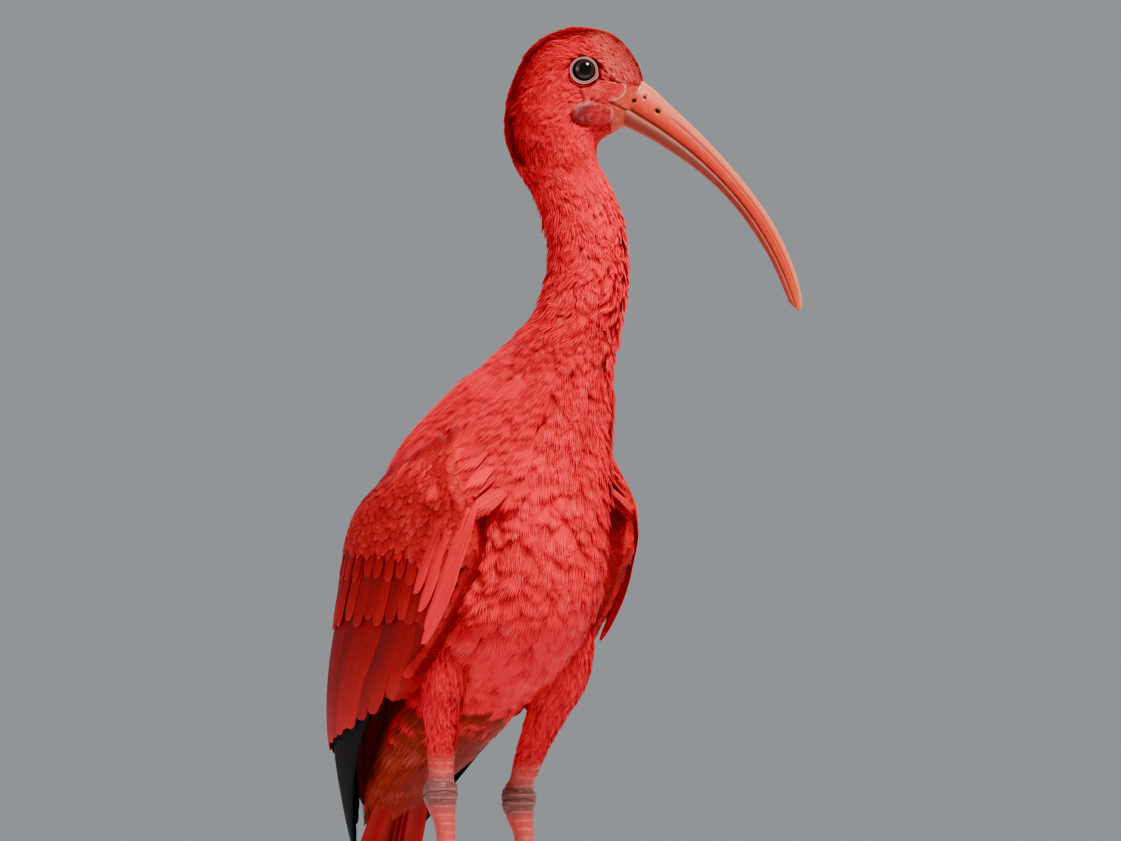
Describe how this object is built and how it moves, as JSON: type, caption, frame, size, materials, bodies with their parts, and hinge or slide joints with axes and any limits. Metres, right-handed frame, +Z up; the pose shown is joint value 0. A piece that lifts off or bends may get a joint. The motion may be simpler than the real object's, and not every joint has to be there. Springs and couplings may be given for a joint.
{
  "type": "scarlet ibis",
  "caption": "Long-legged water bird standing upright with a long down-curved bill, head turned to its left, wings folded over its back and toes spread on the floor.",
  "frame": {"origin": "middle of the bounding box at floor level, between the feet and a little to the bird's left of its body", "axes": "+Z up; the body faces -Y, its right side is -X, and the head is turned about 44 degrees to the bird's left, towards +X"},
  "size_m": [0.152, 0.2636, 0.5005],
  "materials": {
    "feather": "scarlet plumage, satin",
    "bill": "salmon pink horn, satin",
    "eye": "wet, near black",
    "leg_skin": "scaled pinkish red skin, satin"
  },
  "bodies": {
    "root": {"head": "feather", "bill_upper": "bill", "bill_lower": "bill", "eye_right": "eye", "eye_left": "eye", "neck_upper": "feather", "neck_lower": "feather", "torso": "feather", "tail": "feather", "wing_right": "feather", "wing_left": "feather", "thigh_right": "feather", "thigh_left": "feather", "shank_right": "leg_skin", "shank_left": "leg_skin", "foot_right": "leg_skin", "foot_left": "leg_skin"}
  },
  "joints": []
}
